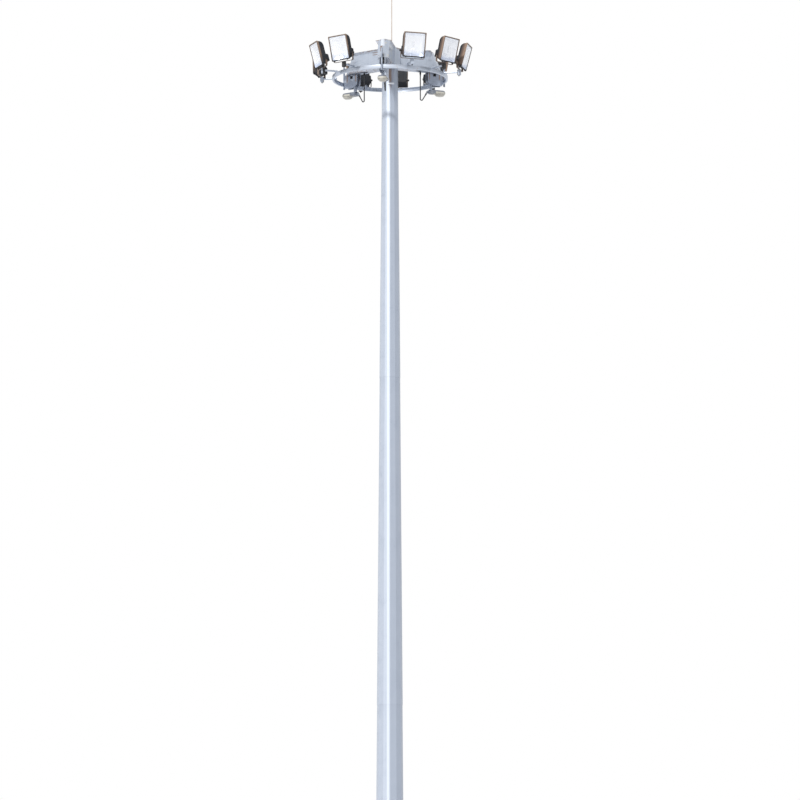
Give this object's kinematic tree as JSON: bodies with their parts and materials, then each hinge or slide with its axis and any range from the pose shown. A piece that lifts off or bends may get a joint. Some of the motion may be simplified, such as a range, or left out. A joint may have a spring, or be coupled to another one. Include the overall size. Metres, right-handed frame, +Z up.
{
  "type": "high mast floodlight tower",
  "caption": "High mast lighting tower: tapered twelve-sided steel shaft, three-armed head frame and a winched ring of tilting floodlights and downlights.",
  "frame": {"origin": "centre of the base flange's underside, where the mast stands on its foundation", "axes": "+Z up the shaft; -Y is the front, towards the near head arm; +X to the right seen from the front"},
  "size_m": [4.2058, 4.2267, 26.6],
  "materials": {
    "black_box": "matte",
    "black_rubber": "matte",
    "bowl_plastic": "gloss",
    "copper_rod": "satin",
    "downlight_paint": "satin",
    "galvanised_steel": "satin",
    "lamp_casting": "matte",
    "lamp_glass": "gloss",
    "pulley_iron": "matte",
    "rope_steel": "satin",
    "shaft_steel": "satin",
    "yoke_steel": "satin"
  },
  "bodies": {
    "mast": {"access_door": "galvanised_steel", "base_flange": "galvanised_steel", "base_gussets": "galvanised_steel", "door_frame": "galvanised_steel", "earthing_boss": "galvanised_steel", "head_arm_1": "galvanised_steel", "head_arm_2": "galvanised_steel", "head_arm_3": "galvanised_steel", "head_hub": "galvanised_steel", "lifting_ropes": "rope_steel", "lightning_rod": "copper_rod", "pulley_pins": "galvanised_steel", "pulley_wheels": "pulley_iron", "shaft_bottom": "shaft_steel", "shaft_middle": "shaft_steel", "shaft_top": "shaft_steel"},
    "floodlight_1": {"floodlight_1_glass": "lamp_glass", "floodlight_1_housing": "lamp_casting"},
    "floodlight_2": {"floodlight_2_glass": "lamp_glass", "floodlight_2_housing": "lamp_casting"},
    "floodlight_3": {"floodlight_3_glass": "lamp_glass", "floodlight_3_housing": "lamp_casting"},
    "floodlight_4": {"floodlight_4_glass": "lamp_glass", "floodlight_4_housing": "lamp_casting"},
    "floodlight_5": {"floodlight_5_glass": "lamp_glass", "floodlight_5_housing": "lamp_casting"},
    "floodlight_6": {"floodlight_6_glass": "lamp_glass", "floodlight_6_housing": "lamp_casting"},
    "floodlight_7": {"floodlight_7_glass": "lamp_glass", "floodlight_7_housing": "lamp_casting"},
    "floodlight_8": {"floodlight_8_glass": "lamp_glass", "floodlight_8_housing": "lamp_casting"},
    "floodlight_9": {"floodlight_9_glass": "lamp_glass", "floodlight_9_housing": "lamp_casting"},
    "luminaire_ring": {"docking_units": "galvanised_steel", "downlight_bowls": "bowl_plastic", "downlight_brackets": "galvanised_steel", "downlight_housings": "downlight_paint", "downlight_lead_1": "black_rubber", "downlight_lead_2": "black_rubber", "downlight_lead_3": "black_rubber", "floodlight_yokes": "yoke_steel", "junction_boxes": "black_box", "lead_glands": "black_rubber", "ring_segment_1": "galvanised_steel", "ring_segment_2": "galvanised_steel", "ring_segment_3": "galvanised_steel", "ring_splices": "galvanised_steel", "stub_arms": "galvanised_steel"}
  },
  "joints": [
    {"name": "ring_lift", "type": "slide", "parent": "mast", "child": "luminaire_ring", "axis": [0, 0, -1], "range_m": [0, 22], "deforming": ["lifting_ropes"]},
    {"name": "floodlight_1_tilt", "type": "hinge", "parent": "luminaire_ring", "child": "floodlight_1", "pos_m": [0.56859, -1.74994, 24.335], "axis": [0.9511, 0.309, 0], "range_deg": [-45, 12]},
    {"name": "floodlight_2_tilt", "type": "hinge", "parent": "luminaire_ring", "child": "floodlight_2", "pos_m": [1.38867, -1.20715, 24.335], "axis": [0.6561, 0.7547, 0], "range_deg": [-45, 12]},
    {"name": "floodlight_3_tilt", "type": "hinge", "parent": "luminaire_ring", "child": "floodlight_3", "pos_m": [1.79284, -0.41391, 24.335], "axis": [0.225, 0.9744, 0], "range_deg": [-45, 12]},
    {"name": "floodlight_4_tilt", "type": "hinge", "parent": "luminaire_ring", "child": "floodlight_4", "pos_m": [1.13282, 1.44994, 24.335], "axis": [-0.788, 0.6157, 0], "range_deg": [-45, 12]},
    {"name": "floodlight_5_tilt", "type": "hinge", "parent": "luminaire_ring", "child": "floodlight_5", "pos_m": [0.16037, 1.833, 24.335], "axis": [-0.9962, 0.0872, 0], "range_deg": [-45, 12]},
    {"name": "floodlight_6_tilt", "type": "hinge", "parent": "luminaire_ring", "child": "floodlight_6", "pos_m": [-0.77762, 1.66761, 24.335], "axis": [-0.9063, -0.4226, 0], "range_deg": [-45, 12]},
    {"name": "floodlight_7_tilt", "type": "hinge", "parent": "luminaire_ring", "child": "floodlight_7", "pos_m": [-1.7773, 0.47623, 24.335], "axis": [-0.2588, -0.9659, 0], "range_deg": [-32, 25]},
    {"name": "floodlight_8_tilt", "type": "hinge", "parent": "luminaire_ring", "child": "floodlight_8", "pos_m": [-1.72903, -0.62932, 24.335], "axis": [0.342, -0.9397, 0], "range_deg": [-45, 12]},
    {"name": "floodlight_9_tilt", "type": "hinge", "parent": "luminaire_ring", "child": "floodlight_9", "pos_m": [-1.18273, -1.40952, 24.335], "axis": [0.766, -0.6428, 0], "range_deg": [-45, 12]}
  ]
}
